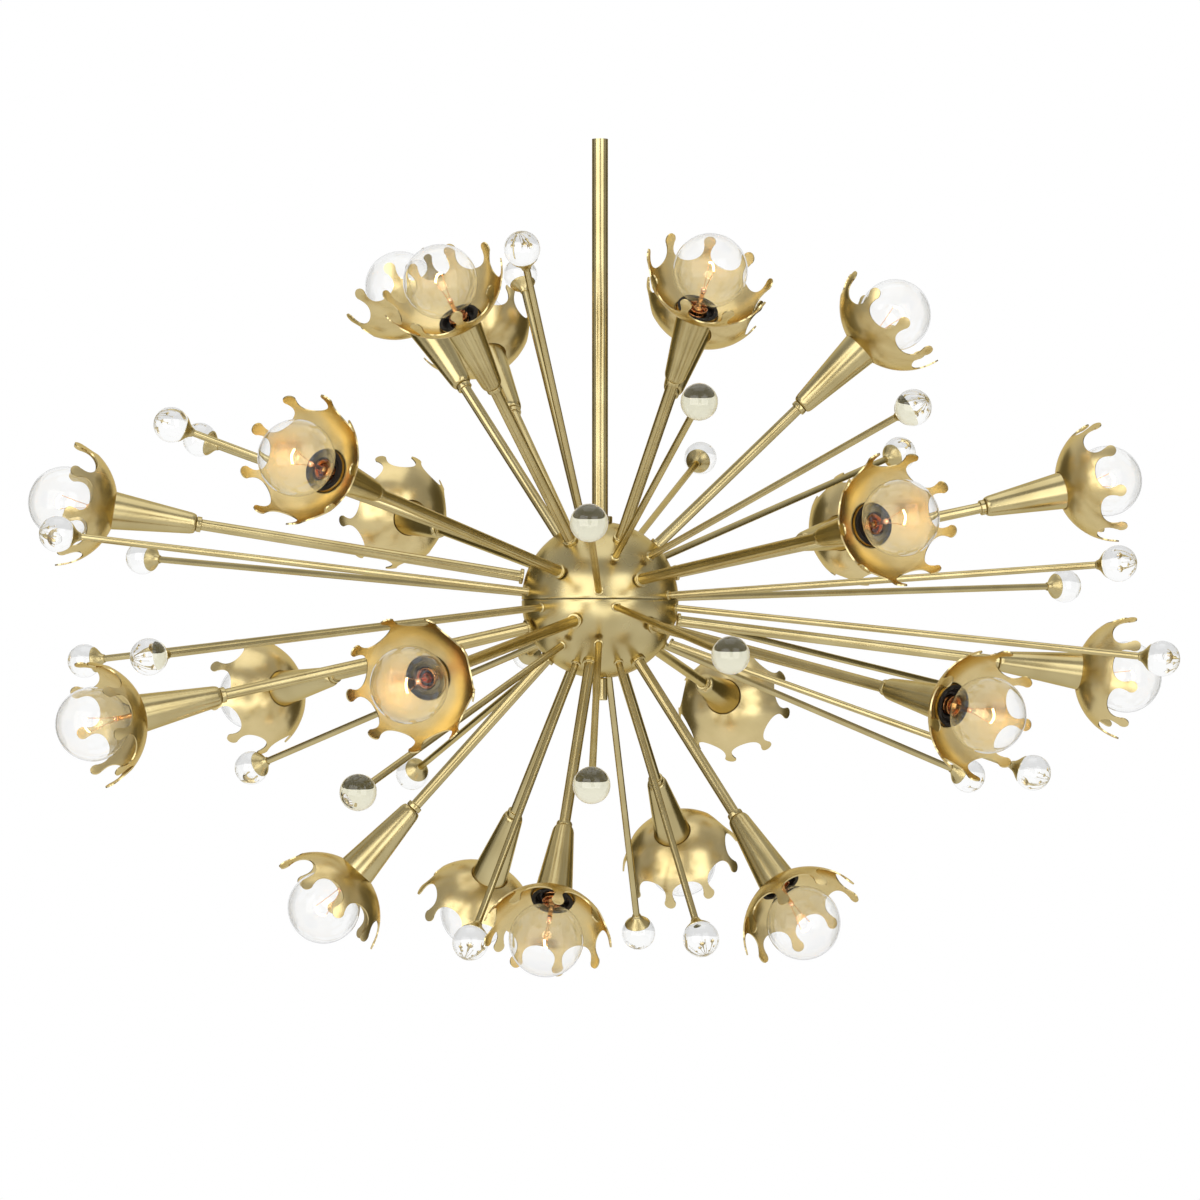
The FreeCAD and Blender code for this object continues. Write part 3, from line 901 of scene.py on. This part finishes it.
def build_floor():
    """Wide pale floor, well below the chandelier. Where it is seen, part of it is plain white,
    so that it is as pale as the room."""
    graph = Graph("pale_floor")
    cloud = graph.noise(graph.place(False), 2, detail=2)
    paint = graph.shader(Roughness=0.8)
    tone = graph.blend(cloud, (0.80, 0.80, 0.80), (0.82, 0.82, 0.82))
    graph.link(tone, paint.inputs["Base Color"])
    pale = graph.node("ShaderNodeEmission")
    seen = graph.rays("Is Camera Ray", "Is Glossy Ray", "Is Transmission Ray")
    share = graph.math("MULTIPLY", seen, 0.7)
    graph.surface(graph.mix_shader(share, paint.outputs["BSDF"], pale.outputs["Emission"]))
    floor = build_sheet("floor", 2 * FLOOR_REACH, 2 * FLOOR_REACH, graph.material, FLOOR_HEIGHT)


class WorldGraph(Graph):
    """The same short ways for the world's nodes."""

    def __init__(self):
        world = bpy.data.worlds.new("white_room")
        bpy.context.scene.world = world
        world.use_nodes = True
        self.material = world
        self.nodes = world.node_tree.nodes
        self.nodes.clear()
        self.output = self.node("ShaderNodeOutputWorld")

    def background(self, colour, strength):
        made = self.node("ShaderNodeBackground")
        made.inputs["Color"].default_value = (*colour, 1)
        made.inputs["Strength"].default_value = strength
        return made


def build_world():
    """White where it is seen, a soft grey light elsewhere, and in reflections white behind
    the chandelier and a darker room on the camera's side."""
    graph = WorldGraph()
    soft = graph.background((0.95, 0.97, 1.0), 0.35)
    white = graph.background((1, 1, 1), 1.0)
    room = graph.node("ShaderNodeBackground")
    split = graph.node("ShaderNodeSeparateXYZ")
    graph.link(graph.node("ShaderNodeTexCoord").outputs["Generated"], split.inputs["Vector"])
    depth = graph.node("ShaderNodeMapRange", interpolation_type="SMOOTHSTEP")
    depth.inputs["From Min"].default_value = -0.1
    depth.inputs["From Max"].default_value = 0.8
    depth.inputs["To Min"].default_value = 0.5
    depth.inputs["To Max"].default_value = 1.0
    graph.link(split.outputs["Y"], depth.inputs["Value"])
    graph.link(depth.outputs["Result"], room.inputs["Strength"])
    lit = graph.mix_shader(graph.rays("Is Glossy Ray"), soft.outputs["Background"],
                           room.outputs["Background"])
    seen = graph.rays("Is Camera Ray", "Is Transmission Ray")
    graph.surface(graph.mix_shader(seen, lit, white.outputs["Background"]))


def around(azimuth, elevation, distance):
    """Place round the hub's centre. Azimuth 0 is the camera's side and 90 is to its right."""
    turn = math.radians(azimuth)
    rise = math.radians(elevation)
    out = Vector((math.sin(turn) * math.cos(rise), -math.cos(turn) * math.cos(rise),
                  math.sin(rise)))
    return Vector((0, 0, HUB_HEIGHT)) + out * distance


def face_hub(item, place):
    """Put an object at the place with its -Z towards the hub's centre."""
    item.location = place
    aim = Vector((0, 0, HUB_HEIGHT)) - place
    item.rotation_euler = aim.to_track_quat("-Z", "Y").to_euler()


def softbox(name, place, width, height, brightness, colour):
    """Rectangular soft lamp. Brightness is against the white background's 1."""
    lamp = bpy.data.lights.new(name, "AREA")
    lamp.shape = "RECTANGLE"
    lamp.size = width
    lamp.size_y = height
    lamp.energy = brightness * math.pi * width * height
    lamp.color = colour
    box = add_object(name, lamp)
    face_hub(box, place)
    box.visible_camera = False
    box.visible_transmission = False


def build_lights():
    softbox("key_box", around(-31, 9, 3.0), 2.9, 3.0, 2.1, (1.0, 0.99, 0.98))
    softbox("fill_box", around(32, 9, 3.0), 1.95, 3.0, 1.9, (0.98, 0.99, 1.0))
    softbox("low_box", around(3, -17, 3.0), 1.2, 0.9, 1.2, (1, 1, 1))
    softbox("top_box", around(0, 86, 2.4), 2.0, 2.0, 0.9, (1, 1, 1))


def build_grey_cards():
    """Grey cards behind the chandelier on both sides and one under the camera. They show only
    in metal, also in the metal behind a ball, and never through glass alone."""
    graph = Graph("grey_card")
    cloth = graph.noise(graph.place(False), 4, detail=2)
    paint = graph.shader(Roughness=0.9)
    graph.link(graph.blend(cloth, (0.13, 0.11, 0.05), (0.16, 0.135, 0.065)),
               paint.inputs["Base Color"])
    mirrored = graph.math("GREATER_THAN", graph.rays("Glossy Depth"), 0.5)
    clear = graph.node("ShaderNodeBsdfTransparent")
    graph.surface(graph.mix_shader(mirrored, clear.outputs["BSDF"], paint.outputs["BSDF"]))
    cards = [
        ("left_card", around(-125, 0, 3.0), 2.5, 3.6),
        ("right_card", around(125, 0, 3.0), 2.5, 3.6),
        ("front_card", around(0, -14, 2.9), 2.2, 0.75),
    ]
    for name, place, width, height in cards:
        card = build_sheet(name, width, height, graph.material)
        face_hub(card, place)
        card.visible_camera = False
        card.visible_diffuse = False
        card.visible_shadow = False
        card.visible_glossy = name != "front_card"


def build_glow():
    """Small warm light in each bulb, from its filament."""
    for name, distance, aim, directions in LAMP_RINGS:
        for number, place in enumerate(arm_places(distance, aim, directions), 1):
            lamp = bpy.data.lights.new(f"{name}_glow_{number}", "POINT")
            lamp.energy = 0.013
            lamp.color = (1.0, 0.60, 0.30)
            lamp.shadow_soft_size = 0.004
            glow = add_object(f"{name}_glow_{number}", lamp)
            glow.matrix_world = place @ Matrix.Translation((0, 0, 0.0046))
            glow.visible_camera = False
            glow.visible_transmission = False


def build_camera():
    """The photograph's view: level with the hub, a degree below it."""
    camera = bpy.data.cameras.new("camera")
    camera.lens = CAMERA_LENS
    camera.sensor_width = CAMERA_SENSOR
    view = add_object("camera", camera)
    tilt = math.radians(CAMERA_ELEVATION)
    hub = Vector((0, 0, HUB_HEIGHT))
    view.location = hub + Vector((0, -math.cos(tilt), math.sin(tilt))) * CAMERA_DISTANCE
    view.rotation_euler = (hub - view.location).to_track_quat("-Z", "Y").to_euler()
    bpy.context.scene.camera = view


# ---------------------------------------------------------------- the scene

bpy.context.scene.view_settings.view_transform = "Standard"
dress_kept_nodes()
build_hub()
build_stem_collar()
build_finial()
build_lamps()
build_balls()
build_floor()
build_world()
build_lights()
build_grey_cards()
build_glow()
build_camera()
